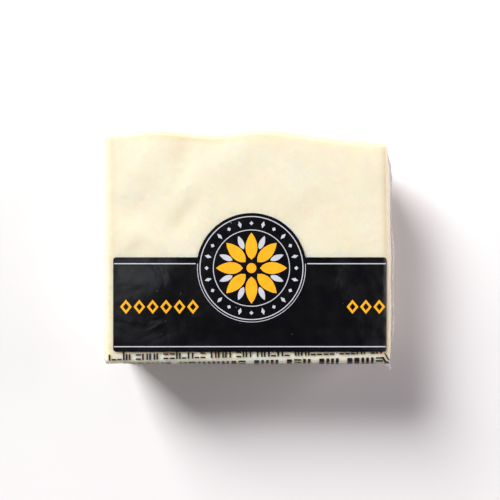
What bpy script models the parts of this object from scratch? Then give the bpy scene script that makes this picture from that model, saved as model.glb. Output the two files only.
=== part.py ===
"""A block of halloumi sealed in clear film, with a black label on its top.

Metres, +Z up. The origin is on the surface that the pack lies on, below the middle of its box.
+X runs along the long side, and +Y from the front edge, which the label lies near, to the back.
The film is drawn tight by the vacuum, so pack and cheese are one closed solid with the film's
outer form: soft edges, low swells and hollows on the top, a flap of film against each short
side, and the ears and folds that spare film makes at the corners.
"""

import math
from typing import NamedTuple

import bmesh
import bpy
from mathutils import Vector
from mathutils.bvhtree import BVHTree

MM = 0.001

# The sealed block, whose middle stands a little left of and behind the origin.
PACK_LENGTH = 99.2 * MM
PACK_DEPTH = 80.2 * MM
PACK_HEIGHT = 30.0 * MM
PACK_MIDDLE_X = -1.4 * MM
PACK_MIDDLE_Y = 0.7 * MM
EDGE_RADIUS = 2.9 * MM
EDGE_POWER = 3.5  # 2 gives round edges, and more makes the top and bottom edges squarer
CORNER_POWER = 4.0  # 2 gives ball corners, and more makes the upright corners squarer
WALL_BULGE = 0.5 * MM  # how far the long walls swell at half height
FOOT_INSET = 0.8 * MM  # how much narrower each wall stands at its foot
END_BULGE = 2.5 * MM  # how far the right wall swells out below its upper edge
END_BULGE_LEVEL = 0.2  # where it swells most, from 0 at half height to 1 at the top
END_BULGE_START = 0.6  # how far along the half length the swelling starts
LENGTH_CELLS = 30
DEPTH_CELLS = 24
HEIGHT_CELLS = 8
ARC_CELLS = 3  # for each half of a rounded edge

HALF_LENGTH = PACK_LENGTH / 2
HALF_DEPTH = PACK_DEPTH / 2
HALF_HEIGHT = PACK_HEIGHT / 2

# The hand-cut block isn't square: how far each upright corner stands from the true rectangle.
CORNER_SHIFTS = {
    (-1, -1): (0.4 * MM, 0.0),
    (1, -1): (0.3 * MM, 0.0),
    (-1, 1): (0.2 * MM, -0.4 * MM),
    (1, 1): (-0.6 * MM, -3.8 * MM),
}


class Swell(NamedTuple):
    """A soft rise, or with a negative rise a hollow, with an oval outline. Turn is in degrees."""

    x: float
    y: float
    half_length: float
    half_width: float
    turn: float
    rise: float

    def height_at(self, x, y):
        """Its height over the plain surface at a point, all in metres."""
        turn = math.radians(self.turn)
        dx = x - self.x * MM
        dy = y - self.y * MM
        along = (dx * math.cos(turn) + dy * math.sin(turn)) / (self.half_length * MM)
        across = (dy * math.cos(turn) - dx * math.sin(turn)) / (self.half_width * MM)
        return self.rise * MM * math.exp(-along * along - across * across)


# The top's relief, in millimetres.
TOP_SWELLS = (
    Swell(x=-8.0, y=29.5, half_length=17.0, half_width=8.0, turn=32.0, rise=0.3),
    Swell(x=-23.5, y=30.5, half_length=9.0, half_width=4.0, turn=82.0, rise=-0.3),
    Swell(x=-38.0, y=27.0, half_length=9.0, half_width=7.0, turn=60.0, rise=0.3),
    Swell(x=-39.0, y=14.5, half_length=7.0, half_width=4.5, turn=10.0, rise=-0.25),
    Swell(x=-22.0, y=12.5, half_length=9.5, half_width=3.3, turn=52.0, rise=-0.33),
    Swell(x=-35.0, y=3.5, half_length=9.0, half_width=4.5, turn=-12.0, rise=0.3),
    Swell(x=-40.0, y=-1.0, half_length=8.0, half_width=3.5, turn=40.0, rise=-0.2),
    Swell(x=20.0, y=13.0, half_length=15.0, half_width=6.0, turn=38.0, rise=-0.2),
    Swell(x=40.0, y=27.0, half_length=10.0, half_width=7.0, turn=60.0, rise=0.25),
    Swell(x=-32.0, y=-12.0, half_length=8.0, half_width=6.0, turn=30.0, rise=0.35),
    Swell(x=28.0, y=-12.0, half_length=5.0, half_width=3.5, turn=65.0, rise=0.3),
    Swell(x=8.0, y=-27.0, half_length=24.0, half_width=7.0, turn=4.0, rise=-0.2),
)


class Bulge(NamedTuple):
    """A stretch of the back wall that stands out, each side with its own width. Millimetres."""

    x: float
    left_width: float
    right_width: float
    reach: float

    def offset_at(self, x):
        off = x - self.x * MM
        width = (self.left_width if off < 0.0 else self.right_width) * MM
        return self.reach * MM * math.exp(-((off / width) ** 2))


BACK_BULGES = (
    Bulge(x=-32.0, left_width=12.0, right_width=17.0, reach=1.7),
    Bulge(x=3.5, left_width=11.0, right_width=24.0, reach=3.2),
)

# The sealed end of the film across each short side: a thin flap that lies back against the wall.
FLAP_HALF_LENGTH = 36.5 * MM
FLAP_THICKNESS = 0.8 * MM
FLAP_ROOT = 2.0 * MM  # how deep the flap is let into the wall
FLAP_BEND = 0.6 * MM  # how far the flap stands off the wall just after its root
FLAP_TURN = 1.6 * MM  # how far up or down the flap has gone by then
FLAP_STEPS = 26
FLAP_WAVE = 0.25 * MM
FLAP_WAVES = 2.6
FLAP_TAPER = 12  # more keeps the flap's full width nearer to its ends


class Flap(NamedTuple):
    """An end flap's side of the pack, and in millimetres the heights of its root and free edge."""

    name: str
    side: int
    root: float
    free: float
    proud: float
    front_gain: float  # how much prouder its front end stands than its back end


FLAPS = (
    Flap(name="right_end_flap", side=1, root=12.0, free=21.5, proud=0.6, front_gain=0.6),
    Flap(name="left_end_flap", side=-1, root=16.0, free=6.5, proud=0.6, front_gain=0.0),
)

# The ears: film left over at an upright corner, pinched to a tip or laid along the front wall.
EAR_TIP_THICKNESS = 0.6 * MM
EAR_STEPS = 8
EAR_WAVE = 0.4 * MM


class Ear(NamedTuple):
    """Millimetres. Root and tip are steps in x and y from the upright corner on the sides named,
    and each has its own lowest and highest level.
    """

    name: str
    side_x: int
    side_y: int
    root: tuple
    root_levels: tuple
    root_thickness: float
    tip: tuple
    tip_levels: tuple


EARS = (
    Ear(
        name="right_front_ear",
        side_x=1,
        side_y=-1,
        root=(-6.5, 5.0),
        root_levels=(5.0, 25.5),
        root_thickness=9.0,
        tip=(1.1, -2.0),
        tip_levels=(16.0, 25.0),
    ),
    Ear(
        name="right_back_ear",
        side_x=1,
        side_y=1,
        root=(-2.2, -4.2),
        root_levels=(7.0, 26.5),
        root_thickness=2.2,
        tip=(-0.6, 2.4),
        tip_levels=(17.0, 25.5),
    ),
    Ear(
        name="left_back_ear",
        side_x=-1,
        side_y=1,
        root=(2.5, -4.2),
        root_levels=(6.0, 22.0),
        root_thickness=2.2,
        tip=(1.2, 0.9),
        tip_levels=(9.0, 15.0),
    ),
    Ear(
        name="left_front_flap",
        side_x=-1,
        side_y=-1,
        root=(1.0, 2.6),
        root_levels=(5.0, 25.5),
        root_thickness=3.0,
        tip=(12.8, -1.0),
        tip_levels=(17.0, 24.5),
    ),
)

# The label: a band with a round badge on its upper edge.
LABEL_LEFT = -47.0 * MM
LABEL_RIGHT = 47.2 * MM
LABEL_FRONT = -35.0 * MM
LABEL_BACK = -2.5 * MM
LABEL_CORNER = 1.0 * MM
BADGE_X = 0.5 * MM
BADGE_Y = -6.2 * MM
BADGE_RADIUS = 18.9 * MM
LABEL_GAP = 0.35 * MM
LABEL_THICKNESS = 0.3 * MM
LABEL_CELL = 4.0 * MM
LABEL_EDGE_CELL = 1.2 * MM  # finer, where the label turns down over the pack's edge
LABEL_EDGE_ZONE = 6.0 * MM
BADGE_STEPS = 40

CREAM = (0.90, 0.82, 0.61, 1.0)
LABEL_BLACK = (0.012, 0.012, 0.016, 1.0)


def material(name, colour, roughness):
    made = bpy.data.materials.new(name)
    made.use_nodes = True
    shader = made.node_tree.nodes["Principled BSDF"]
    shader.inputs["Base Color"].default_value = colour
    shader.inputs["Roughness"].default_value = roughness
    shader.inputs["Metallic"].default_value = 0.0
    return made


def new_object(name, shape, collection=None):
    """An object made from a bmesh, which is freed."""
    mesh = bpy.data.meshes.new(name)
    shape.to_mesh(mesh)
    shape.free()
    made = bpy.data.objects.new(name, mesh)
    (collection or bpy.context.scene.collection).objects.link(made)
    return made


def smooth_step(value):
    share = min(max(value, 0.0), 1.0)
    return share * share * (3.0 - 2.0 * share)


def grid_lines(half, cells):
    """Places along one axis: even cells on the flat, and even angles round each edge."""
    flat = half - EDGE_RADIUS
    middle = [-flat + 2.0 * flat * i / cells for i in range(cells + 1)]
    steps = range(1, ARC_CELLS + 1)
    arc = [EDGE_RADIUS * math.tan(math.pi / 4 * i / ARC_CELLS) for i in steps]
    before = [-flat - reach for reach in reversed(arc)]
    after = [flat + reach for reach in arc]
    return before + middle + after


def on_rounded_block(x, y, z):
    """The point of a plain block with rounded edges that a point of the square block stands for."""
    halves = (HALF_LENGTH, HALF_DEPTH, HALF_HEIGHT)
    inner = [half - EDGE_RADIUS for half in halves]
    over = [max(0.0, abs(c) - flat) / EDGE_RADIUS for c, flat in zip((x, y, z), inner)]
    plan = (over[0] ** CORNER_POWER + over[1] ** CORNER_POWER) ** (1.0 / CORNER_POWER)
    shrink = (plan**EDGE_POWER + over[2] ** EDGE_POWER) ** (-1.0 / EDGE_POWER)
    return [
        math.copysign(min(abs(c), flat) + EDGE_RADIUS * beyond * shrink, c)
        for c, flat, beyond in zip((x, y, z), inner, over)
    ]


def corner_shift(x, y):
    """How far the plan is pushed out of square at a point, blended between the four corners."""
    across = x / HALF_LENGTH
    along = y / HALF_DEPTH
    shift = Vector((0.0, 0.0))
    for (side_x, side_y), moved in CORNER_SHIFTS.items():
        weight = (1.0 + side_x * across) * (1.0 + side_y * along) / 4.0
        shift += Vector(moved) * weight
    return shift


def back_edge_offset(x):
    return sum(bulge.offset_at(x) for bulge in BACK_BULGES)


def end_bulge(x, y, level):
    """How far a point is pushed to the right by the fuller right wall."""
    near_right = smooth_step((x / HALF_LENGTH - END_BULGE_START) / (1.0 - END_BULGE_START))
    off = (level - END_BULGE_LEVEL) / (1.0 - END_BULGE_LEVEL)
    upright = max(0.0, 1.0 - off * off)
    return END_BULGE * near_right * upright * (1.0 - abs(y / HALF_DEPTH) ** 6)


def top_relief(x, y):
    return sum(swell.height_at(x, y) for swell in TOP_SWELLS)


def settled(x, y, z):
    """The real pack's surface for a point of the rounded block, with z from its middle height."""
    level = z / HALF_HEIGHT
    bulge = WALL_BULGE * (1.0 - level * level)
    inset = FOOT_INSET * (1.0 - level) / 2.0
    upper = smooth_step((z + HALF_HEIGHT) / PACK_HEIGHT)
    near_back = smooth_step(y / HALF_DEPTH)
    near_top = smooth_step((z - HALF_HEIGHT + EDGE_RADIUS) / EDGE_RADIUS)
    shift = corner_shift(x, y)
    plan_x = x * (1.0 + (bulge - inset) / HALF_LENGTH) + shift.x + PACK_MIDDLE_X
    plan_x += end_bulge(x, y, level)
    plan_y = y * (1.0 + (bulge - inset) / HALF_DEPTH) + shift.y + PACK_MIDDLE_Y
    return Vector(
        (
            plan_x,
            plan_y + back_edge_offset(plan_x) * near_back * upper,
            z + HALF_HEIGHT + top_relief(plan_x, plan_y) * near_top,
        )
    )


def block_shape():
    """The closed skin of the block, as quads on the six sides of a grid."""
    lines = (
        grid_lines(HALF_LENGTH, LENGTH_CELLS),
        grid_lines(HALF_DEPTH, DEPTH_CELLS),
        grid_lines(HALF_HEIGHT, HEIGHT_CELLS),
    )
    last = [len(line) - 1 for line in lines]
    shape = bmesh.new()
    made = {}

    def corner(place):
        if place not in made:
            square = [line[i] for line, i in zip(lines, place)]
            made[place] = shape.verts.new(settled(*on_rounded_block(*square)))
        return made[place]

    for axis in range(3):
        first, second = (axis + 1) % 3, (axis + 2) % 3
        for end in (0, last[axis]):
            for i in range(last[first]):
                for j in range(last[second]):
                    ring = ((i, j), (i + 1, j), (i + 1, j + 1), (i, j + 1))
                    places = []
                    for at_first, at_second in ring if end else reversed(ring):
                        place = [0, 0, 0]
                        place[axis] = end
                        place[first] = at_first
                        place[second] = at_second
                        places.append(tuple(place))
                    shape.faces.new([corner(place) for place in places])
    return shape


def lofted(rings):
    """A closed solid through rings of points, with a flat cap on each end."""
    shape = bmesh.new()
    loops = [[shape.verts.new(point) for point in ring] for ring in rings]
    for near, far in zip(loops, loops[1:]):
        for i in range(len(near)):
            j = (i + 1) % len(near)
            shape.faces.new((near[i], near[j], far[j], far[i]))
    shape.faces.new(list(reversed(loops[0])))
    shape.faces.new(loops[-1])
    bmesh.ops.recalc_face_normals(shape, faces=shape.faces)
    return shape


def end_flap(flap, folds):
    """A thin sheet that leaves the wall at its root, turns, and stands a little off it."""
    turn = math.copysign(FLAP_TURN, flap.free - flap.root)
    half_thick = FLAP_THICKNESS / 2
    rings = []
    for step in range(FLAP_STEPS + 1):
        share = step / FLAP_STEPS
        y = FLAP_HALF_LENGTH * (2.0 * share - 1.0) + PACK_MIDDLE_Y
        wall = settled(flap.side * HALF_LENGTH, y - PACK_MIDDLE_Y, 0.0).x * flap.side
        width = 1.0 - 0.45 * abs(2.0 * share - 1.0) ** FLAP_TAPER
        wave = FLAP_WAVE * math.sin(2.0 * math.pi * FLAP_WAVES * share)
        proud = (flap.proud + flap.front_gain * (0.5 - share)) * MM + wave
        root = flap.root * MM
        free = root + (flap.free - flap.root) * MM * width + wave
        middle = (wall + (FLAP_BEND + proud) / 2, (root + free) / 2)
        section = (
            (wall - FLAP_ROOT, root - half_thick),
            (wall - FLAP_ROOT, root + half_thick),
            (wall + FLAP_BEND - half_thick, root + turn),
            (middle[0] - half_thick, middle[1]),
            (wall + proud - half_thick, free),
            (wall + proud + half_thick, free),
            (middle[0] + half_thick, middle[1]),
            (wall + FLAP_BEND + half_thick, root + turn / 2),
        )
        if turn < 0.0:
            section = (section[1], section[0]) + section[2:]
        rings.append([(flap.side * x, y, z) for x, z in section])
    return new_object(flap.name, lofted(rings), folds)


def between(start, end, share):
    return start + (end - start) * share


def corner_ear(ear, folds):
    """A wedge of film that stands upright from a root inside the pack to its thin tip."""
    corner = settled(ear.side_x * HALF_LENGTH, ear.side_y * HALF_DEPTH, 0.0).to_2d()
    root = corner + Vector(ear.root) * MM
    tip = corner + Vector(ear.tip) * MM
    away = (tip - root).normalized()
    beside = Vector((-away.y, away.x))
    rings = []
    for step in range(EAR_STEPS + 1):
        share = step / EAR_STEPS
        bend = EAR_WAVE * math.sin(math.pi * share * 1.5)
        centre = root + (tip - root) * share + beside * bend
        low = between(ear.root_levels[0], ear.tip_levels[0], share * share) * MM
        high = between(ear.root_levels[1], ear.tip_levels[1], share * share) * MM
        thin = beside * between(ear.root_thickness * MM, EAR_TIP_THICKNESS, share) / 2
        section = (
            (centre - thin, low),
            (centre + thin, low),
            (centre + thin, high),
            (centre - thin, high),
        )
        rings.append([(at.x, at.y, z) for at, z in section])
    return new_object(ear.name, lofted(rings), folds)


def film_folds():
    """The film's flaps and ears, in a collection that the block's Boolean joins to it."""
    folds = bpy.data.collections.new("film_folds")
    bpy.context.scene.collection.children.link(folds)
    made = [end_flap(flap, folds) for flap in FLAPS]
    made += [corner_ear(ear, folds) for ear in EARS]
    for piece in made:
        piece.hide_render = True
        piece.display_type = "WIRE"
    return folds


def sealed_pack():
    pack = new_object("sealed_pack", block_shape())
    join = pack.modifiers.new("join_film_folds", "BOOLEAN")
    join.operation = "UNION"
    join.operand_type = "COLLECTION"
    join.collection = film_folds()
    pack.data.materials.append(material("cheese_in_clear_film", CREAM, 0.32))
    pack.data.shade_smooth()
    pack.data.set_sharp_from_angle(angle=math.radians(40))
    return pack


def arc(centre_x, centre_y, radius, start, end, steps):
    """Points of an arc, from one angle in degrees to another."""
    points = []
    for step in range(steps + 1):
        angle = math.radians(start + (end - start) * step / steps)
        points.append((centre_x + radius * math.cos(angle), centre_y + radius * math.sin(angle)))
    return points


def label_outline():
    """The label's outline in plan, anticlockwise: a band with round corners and the badge's arc."""
    left, right = LABEL_LEFT + LABEL_CORNER, LABEL_RIGHT - LABEL_CORNER
    front, back = LABEL_FRONT + LABEL_CORNER, LABEL_BACK - LABEL_CORNER
    meet = math.degrees(math.asin((LABEL_BACK - BADGE_Y) / BADGE_RADIUS))
    outline = arc(right, front, LABEL_CORNER, -90, 0, 3)
    outline += arc(right, back, LABEL_CORNER, 0, 90, 3)
    outline += arc(BADGE_X, BADGE_Y, BADGE_RADIUS, meet, 180 - meet, BADGE_STEPS)
    outline += arc(left, back, LABEL_CORNER, 90, 180, 3)
    outline += arc(left, front, LABEL_CORNER, 180, 270, 3)
    return outline


def cut_in_cells(shape):
    """Cuts a flat sheet along a grid, finer near its right edge, so that it can bend."""
    edge = LABEL_RIGHT - LABEL_EDGE_ZONE
    cuts = []
    x = LABEL_LEFT + LABEL_CELL
    while x < LABEL_RIGHT:
        cuts.append((Vector((x, 0.0, 0.0)), Vector((1.0, 0.0, 0.0))))
        x += LABEL_CELL if x < edge else LABEL_EDGE_CELL
    y = LABEL_FRONT + LABEL_CELL
    while y < BADGE_Y + BADGE_RADIUS:
        cuts.append((Vector((0.0, y, 0.0)), Vector((0.0, 1.0, 0.0))))
        y += LABEL_CELL
    for place, normal in cuts:
        everything = shape.verts[:] + shape.edges[:] + shape.faces[:]
        bmesh.ops.bisect_plane(shape, geom=everything, plane_co=place, plane_no=normal)


def front_label(pack):
    """A thin sheet that lies on the pack's top and turns down over the right edge."""
    shape = bmesh.new()
    shape.faces.new([shape.verts.new((x, y, 0.0)) for x, y in label_outline()])
    cut_in_cells(shape)
    bmesh.ops.triangulate(shape, faces=shape.faces[:])
    surface = BVHTree.FromPolygons(
        [vertex.co for vertex in pack.data.vertices],
        [list(face.vertices) for face in pack.data.polygons],
    )
    above = 2.0 * PACK_HEIGHT
    for vertex in shape.verts:
        start = Vector((vertex.co.x, vertex.co.y, above))
        place, normal, _, _ = surface.ray_cast(start, Vector((0.0, 0.0, -1.0)))
        vertex.co = place + normal * LABEL_GAP
    label = new_object("front_label", shape)
    thicken = label.modifiers.new("thickness", "SOLIDIFY")
    thicken.thickness = LABEL_THICKNESS
    thicken.offset = 1.0
    label.data.materials.append(material("black_label_film", LABEL_BLACK, 0.3))
    return label


def main():
    for old in list(bpy.data.objects):
        bpy.data.objects.remove(old, do_unlink=True)
    front_label(sealed_pack())


main()
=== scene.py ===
"""A block of halloumi sealed in clear vacuum film, with a black label, lying on a white table.

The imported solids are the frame. The sealed pack is replaced by the cheese and the film round it,
and the label by a thinner sheet with its print. All of them are laid on one surface, which is
worked out from the same sizes as the pack's solid.
"""

import math
from typing import NamedTuple

import bpy
import numpy as np
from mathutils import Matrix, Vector, noise
from mathutils.geometry import delaunay_2d_cdt


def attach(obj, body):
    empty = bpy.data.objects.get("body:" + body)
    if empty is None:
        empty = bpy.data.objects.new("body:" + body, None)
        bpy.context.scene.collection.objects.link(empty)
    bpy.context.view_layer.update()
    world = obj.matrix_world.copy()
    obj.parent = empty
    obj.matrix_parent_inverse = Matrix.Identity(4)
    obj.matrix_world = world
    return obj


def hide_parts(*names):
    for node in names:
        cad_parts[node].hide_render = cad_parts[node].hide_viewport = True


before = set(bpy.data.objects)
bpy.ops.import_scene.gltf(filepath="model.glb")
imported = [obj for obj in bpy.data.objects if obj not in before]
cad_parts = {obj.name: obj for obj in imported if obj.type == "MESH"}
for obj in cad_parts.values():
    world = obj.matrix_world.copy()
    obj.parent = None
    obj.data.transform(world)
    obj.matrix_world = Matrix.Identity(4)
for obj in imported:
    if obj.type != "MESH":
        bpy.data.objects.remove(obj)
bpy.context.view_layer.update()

MM = 0.001
SEED = 11

# The sealed block, in millimetres, as in the pack's solid.
PACK_LENGTH = 99.2
PACK_DEPTH = 80.2
PACK_HEIGHT = 30.0
PACK_MIDDLE = (-1.4, 0.7)
EDGE_RADIUS = 2.9
EDGE_POWER = 3.5
CORNER_POWER = 4.0
WALL_BULGE = 0.5
FOOT_INSET = 0.8
END_BULGE = 2.5
END_BULGE_LEVEL = 0.2
END_BULGE_START = 0.6
HALVES = np.array([PACK_LENGTH, PACK_DEPTH, PACK_HEIGHT]) / 2
INNER = HALVES - EDGE_RADIUS
EDGE_ARC = 1.72 * EDGE_RADIUS  # the length of the way round an edge
CORNER_SHIFTS = {
    (-1, -1): (0.4, 0.0),
    (1, -1): (0.3, 0.0),
    (-1, 1): (0.2, -0.4),
    (1, 1): (-0.6, -3.8),
}

# How fine the visible skin is, and how fine a flat shape on it is.
LENGTH_CELLS = 140
DEPTH_CELLS = 112
HEIGHT_CELLS = 32
ARC_CELLS = 7
FILL_CELL = 0.8

# The film's own relief: the width of its lumps and ripples, and their height on the top, then what
# the walls have more.
LUMP_WIDTH = 9.0
LUMP_HEIGHTS = (0.1, 0.22)
RIPPLE_WIDTH = 3.2
RIPPLE_HEIGHTS = (0.035, 0.1)

# What lies under and on the film, as steps outward from it.
CHEESE_INSET = 0.3
CHEESE_RELIEF = 0.6  # the share of the film's relief that the cheese under it has
LABEL_LIFT = 0.12
LABEL_THICKNESS = 0.14
INK_SUNK = 0.05
INK_PROUD = 0.04
FILM_THICKNESS = 0.1
FILM_MIRROR = 0.012  # the share of light that the film mirrors when it is looked straight at
SHARP_ANGLE = math.radians(60.0)

# Painted shade on the cheese, partly standing for its yellower rind: its colour is tinted darker
# and yellower along its edges, most of all on the back edges that face the key light. The tint,
# how far inside each side its band runs, how strong and how wide the band is, and where it is
# strongest along the back. A hollow of the top has some of the tint too, as painted shade.
RIM_SHADE_TINT = (0.72, 0.62, 0.42)
RIM_SHADE_INSETS = {"left": 3.6, "right": 1.2, "back": 1.7}
RIM_SHADE_STRENGTHS = {"left": 0.14, "right": 0.42, "back": 0.1}
RIM_SHADE_SPREAD = 1.3
BACK_SHADE_X = -16.0
BACK_SHADE_HALF_LENGTH = 20.0
BACK_SHADE_STRENGTH = 0.3
HOLLOW_SHADE_SHARE = 0.15
HOLLOW_SHADE_DEPTH = 0.3

# The film's milky haze on its rounded edges, partly milky film over air and partly a painted sheen
# that lightens edges facing away from the key light: along the front, where patches and the loose
# left end add to it, and at the two ends.
FRONT_HAZE_AND_SHEEN = 0.5
PATCH_HAZE_AND_SHEEN = 0.5
PATCH_WIDTH = 4.0
LOOSE_LEFT_HAZE_AND_SHEEN = 0.6
LOOSE_END_X = -33.0
LOOSE_END_FADE = 8.0
ENDS_HAZE_AND_SHEEN = 0.35

# The label, seen from above.
LABEL_LEFT = -47.0
LABEL_RIGHT = 46.9
LABEL_FRONT = -35.0
LABEL_BACK = -2.5
LABEL_CORNER = 1.0
BADGE = (0.5, -6.2)
BADGE_RADIUS = 18.9
STRIPES = (-4.7, -33.2)
STRIPE_WIDTH = 0.34
STRIPE_STEP = 0.7
STRIPE_GAP = 0.3  # how far a stripe stops short of the label's end and of the badge
RING_STEP = 2.5  # in degrees
RING_RADIUS = 17.7
RING_WIDTH = 0.32
OUTER_RING_RADIUS = 18.55
OUTER_RING_WIDTH = 0.2
INNER_RING_RADIUS = 13.1
INNER_RING_WIDTH = 0.28
RING_LOZENGES = 24
LONG_LOZENGE = (1.25, 0.62)
SHORT_LOZENGE = (0.7, 0.7)
AMBER_ROWS = ((-42.6, 6), (35.2, 3))  # where each row of lozenges starts, and how many it has
AMBER_ROW_Y = -19.5
AMBER_PITCH = 4.6
AMBER_LOZENGE = (2.0, 2.45)
AMBER_LOZENGE_HOLE = (1.05, 1.3)

# The badge's flower: how many petals, how far their feet are from the middle, their length and
# width, and the first one's turn in degrees. Its eye is a disc.
AMBER_PETALS = (8, 2.9, 9.3, 4.1, 0.0)
PALE_PETALS = (8, 7.0, 4.9, 1.9, 22.5)
PETAL_STEPS = 9
EYE_RADIUS = 1.7
EYE_STEPS = 32

# The strokes of each kind of printed mark: how far the middle is from the mark's left end, in
# stroke widths, and from its foot, as a share of its height, and the size in the same units.
TALL_BAR = ((0.5, 0.5, 1.0, 1.0),)
SHORT_BAR = ((0.5, 0.35, 1.0, 0.7),)
WIDE_BAR = ((0.9, 0.5, 1.8, 1.0),)
TWO_BARS = ((0.5, 0.35, 1.0, 0.7), (3.0, 0.35, 1.0, 0.7))
TWO_TALL_BARS = ((0.5, 0.5, 1.0, 1.0), (2.2, 0.5, 1.0, 1.0))
ONE_DASH = ((1.3, 0.1, 2.6, 0.17),)
TWO_DASHES = ((1.5, 0.1, 3.0, 0.17), (1.5, 0.6, 3.0, 0.17))
HIGH_DASHES = ((1.3, 0.9, 2.6, 0.2), (1.3, 0.5, 2.6, 0.2))

# What a row's marks are drawn from, the commoner ones twice, and the gaps in stroke widths. A
# group has as many marks as the first size says, or more, but fewer than the second.
FINE_MARKS = (TALL_BAR, SHORT_BAR, TWO_BARS, TWO_BARS, TWO_DASHES, TWO_DASHES, ONE_DASH)
BOLD_MARKS = (TALL_BAR, WIDE_BAR, TWO_TALL_BARS, TWO_TALL_BARS, HIGH_DASHES)
MARK_GAP = 0.75
GROUP_GAP = 2.4
GROUP_SIZES = (3, 9)

# The dark print on the film below the label: rows down the front wall, by where they start, how
# far their middle is past the top's front edge at the left and at the right end, how tall their
# marks are, how wide the strokes, and which marks they have.
PRINT_ROWS = (
    (-49.0, 0.1, -2.6, 3.1, 0.58, FINE_MARKS),
    (-44.0, 4.1, 1.6, 2.8, 0.95, BOLD_MARKS),
    (-46.0, 9.4, 7.2, 1.7, 0.35, FINE_MARKS),
    (-46.0, 12.8, 10.8, 1.7, 0.35, FINE_MARKS),
    (-46.0, 16.2, 14.4, 1.7, 0.35, FINE_MARKS),
)
PRINT_RIGHT = 45.0
DASH_STEP = 0.6
DASH_ROWS = 5

# Print that the folded film has turned askew at the front corners, as x, reach down the front,
# width, height and lean.
CORNER_PRINT = (
    (45.9, 1.3, 0.8, 2.4, 1.3),
    (47.0, 0.5, 0.6, 1.7, 1.0),
    (47.2, 2.4, 0.6, 1.3, 0.8),
    (46.4, -0.7, 0.5, 1.1, 0.7),
    (46.6, 3.6, 1.1, 0.5, 0.2),
    (-48.6, 3.6, 1.6, 0.5, 0.4),
    (-47.2, 4.3, 1.2, 0.7, -0.5),
    (-49.6, 3.0, 0.6, 1.0, 0.3),
)

# The fans of pleats at the upright corners, and the short pleats over the top and bottom edges.
FAN_PLEATS = 7
EDGE_PLEATS = 46

# The sealed ends of the film across the short sides. A flap leaves the wall in a short bend, and
# is narrower at its two ends.
FLAP_HALF_LENGTH = 36.5
FLAP_ROOT_DEPTH = 0.4
FLAP_BEND = 0.6
FLAP_BEND_RISE = 1.2
FLAP_BEND_SHARE = 0.15
FLAP_WAVE = 0.25
FLAP_WAVES = 2.6
FLAP_NARROWING = 0.45
FLAP_TAPER = 12
FLAP_CRINKLE = 0.2
FLAP_CRINKLE_WIDTHS = (1.9, 6.0)
FLAP_COLUMNS = 110
FLAP_ROWS = 14

# The film that is left over at the corners.
EAR_TIP_THICKNESS = 0.6
EAR_WAVE = 0.4
EAR_CRUMPLE = 0.55
EAR_CRUMPLE_WIDTHS = (1.6, 4.0)
EAR_TIP_CRUMPLE = 0.15  # the share of the crumple that is left at the tip
EAR_STEPS = 22
EAR_ACROSS = 10
EAR_UPRIGHT = 18

# The camera looks straight down from this height, in metres.
CAMERA_HEIGHT = 0.253
CAMERA_LENS = 46.7
CAMERA_SENSOR = 36.0

TABLE_HALF_SIZE = 2.0
TABLE_DROP = 0.0002


class Swell(NamedTuple):
    """A soft rise, or with a negative rise a hollow, with an oval outline. Turn is in degrees."""

    x: float
    y: float
    half_length: float
    half_width: float
    turn: float
    rise: float

    def height_at(self, x, y):
        turn = math.radians(self.turn)
        dx = x - self.x
        dy = y - self.y
        along = (dx * math.cos(turn) + dy * math.sin(turn)) / self.half_length
        across = (dy * math.cos(turn) - dx * math.sin(turn)) / self.half_width
        return self.rise * np.exp(-along * along - across * across)


TOP_SWELLS = (
    Swell(x=-8.0, y=29.5, half_length=17.0, half_width=8.0, turn=32.0, rise=0.3),
    Swell(x=-23.5, y=30.5, half_length=9.0, half_width=4.0, turn=82.0, rise=-0.3),
    Swell(x=-38.0, y=27.0, half_length=9.0, half_width=7.0, turn=60.0, rise=0.3),
    Swell(x=-39.0, y=14.5, half_length=7.0, half_width=4.5, turn=10.0, rise=-0.25),
    Swell(x=-22.0, y=12.5, half_length=9.5, half_width=3.4, turn=52.0, rise=-0.27),
    Swell(x=-35.0, y=3.5, half_length=9.0, half_width=4.5, turn=-12.0, rise=0.3),
    Swell(x=-40.0, y=-1.0, half_length=8.0, half_width=3.5, turn=40.0, rise=-0.2),
    Swell(x=20.0, y=13.0, half_length=15.0, half_width=6.0, turn=38.0, rise=-0.2),
    Swell(x=40.0, y=27.0, half_length=10.0, half_width=7.0, turn=60.0, rise=0.25),
    Swell(x=-32.0, y=-12.0, half_length=8.0, half_width=6.0, turn=30.0, rise=0.35),
    Swell(x=28.0, y=-12.0, half_length=5.0, half_width=3.5, turn=65.0, rise=0.3),
    Swell(x=8.0, y=-27.0, half_length=24.0, half_width=7.0, turn=4.0, rise=-0.2),
)


class Bulge(NamedTuple):
    """A stretch of the back wall that stands out, each side with its own width."""

    x: float
    left_width: float
    right_width: float
    reach: float

    def offset_at(self, x):
        off = x - self.x
        width = np.where(off < 0.0, self.left_width, self.right_width)
        return self.reach * np.exp(-((off / width) ** 2))


BACK_BULGES = (
    Bulge(x=-32.0, left_width=12.0, right_width=17.0, reach=1.7),
    Bulge(x=3.5, left_width=11.0, right_width=24.0, reach=3.2),
)


class Flap(NamedTuple):
    """A sealed end of the film, as in the pack's solid."""

    side: int
    root: float
    free: float
    proud: float
    front_gain: float


FLAPS = (
    Flap(side=1, root=12.0, free=21.5, proud=0.6, front_gain=0.6),
    Flap(side=-1, root=16.0, free=6.5, proud=0.6, front_gain=0.0),
)


class Ear(NamedTuple):
    """A pinch of spare film at an upright corner, as in the pack's solid."""

    side_x: int
    side_y: int
    root: tuple
    root_levels: tuple
    root_thickness: float
    tip: tuple
    tip_levels: tuple


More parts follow.
